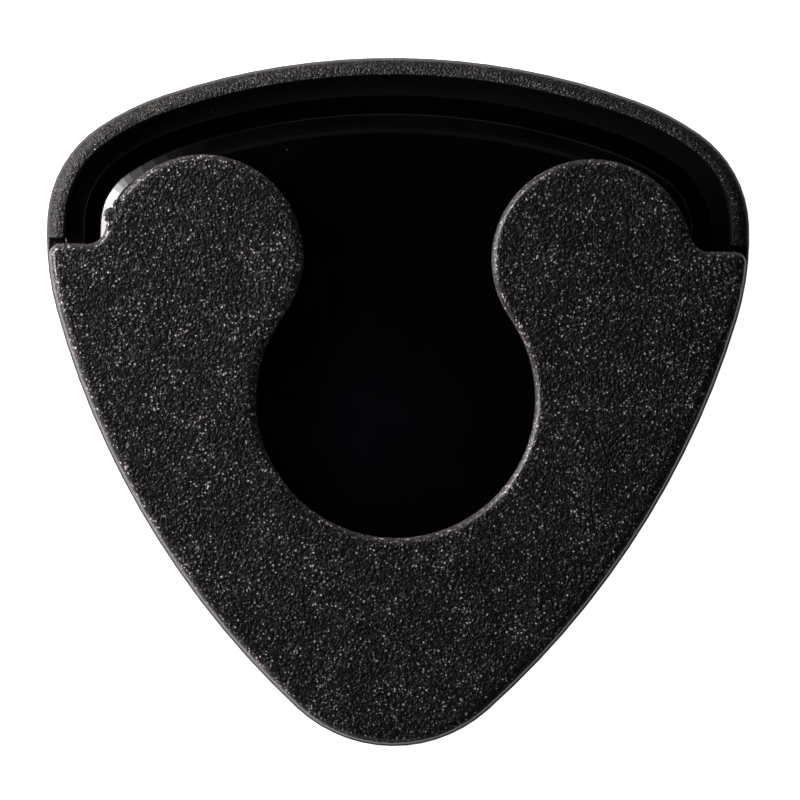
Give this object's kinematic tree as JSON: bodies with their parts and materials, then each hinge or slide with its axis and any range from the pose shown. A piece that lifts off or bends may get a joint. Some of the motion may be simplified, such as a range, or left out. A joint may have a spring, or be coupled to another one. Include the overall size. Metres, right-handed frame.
{
  "type": "pick holder",
  "caption": "Flat stick-on holder for plectrums: a rounded triangular case with an open mouth, a thumb opening and a spring-loaded pressure plate behind the front cover.",
  "frame": {"origin": "middle of the case's outline, on the surface that it lies on, which is the back of the release liner", "axes": "+Z out of the front cover, +Y towards the open mouth where picks go in, +X to the right seen from the front"},
  "size_m": [0.042, 0.0412, 0.0097],
  "materials": {
    "shell_plastic": "black moulded plastic with a fine soft grain",
    "cover_plastic": "black moulded plastic with a sharp pebbled grain",
    "plate_plastic": "black polished plastic",
    "spring_steel": "bright drawn spring wire",
    "pad_foam": "white closed-cell foam tape",
    "liner_paper": "thin waxed release paper"
  },
  "bodies": {
    "case": {"base_shell": "shell_plastic", "front_cover": "cover_plastic", "foam_pad": "pad_foam", "pressure_spring": "spring_steel"},
    "plate": {"pressure_plate": "plate_plastic"},
    "liner": {"release_liner": "liner_paper"}
  },
  "joints": [
    {"name": "plate_slide", "type": "slide", "parent": "case", "child": "plate", "axis": [0, 0, -1], "range_m": [0, 0.0032], "stiffness_N_per_m": 600, "springref_m": -0.002, "deforming": ["pressure_spring"]},
    {"name": "liner_peel", "type": "slide", "parent": "case", "child": "liner", "axis": [0, -1, 0], "range_m": [0, 0.045]}
  ]
}
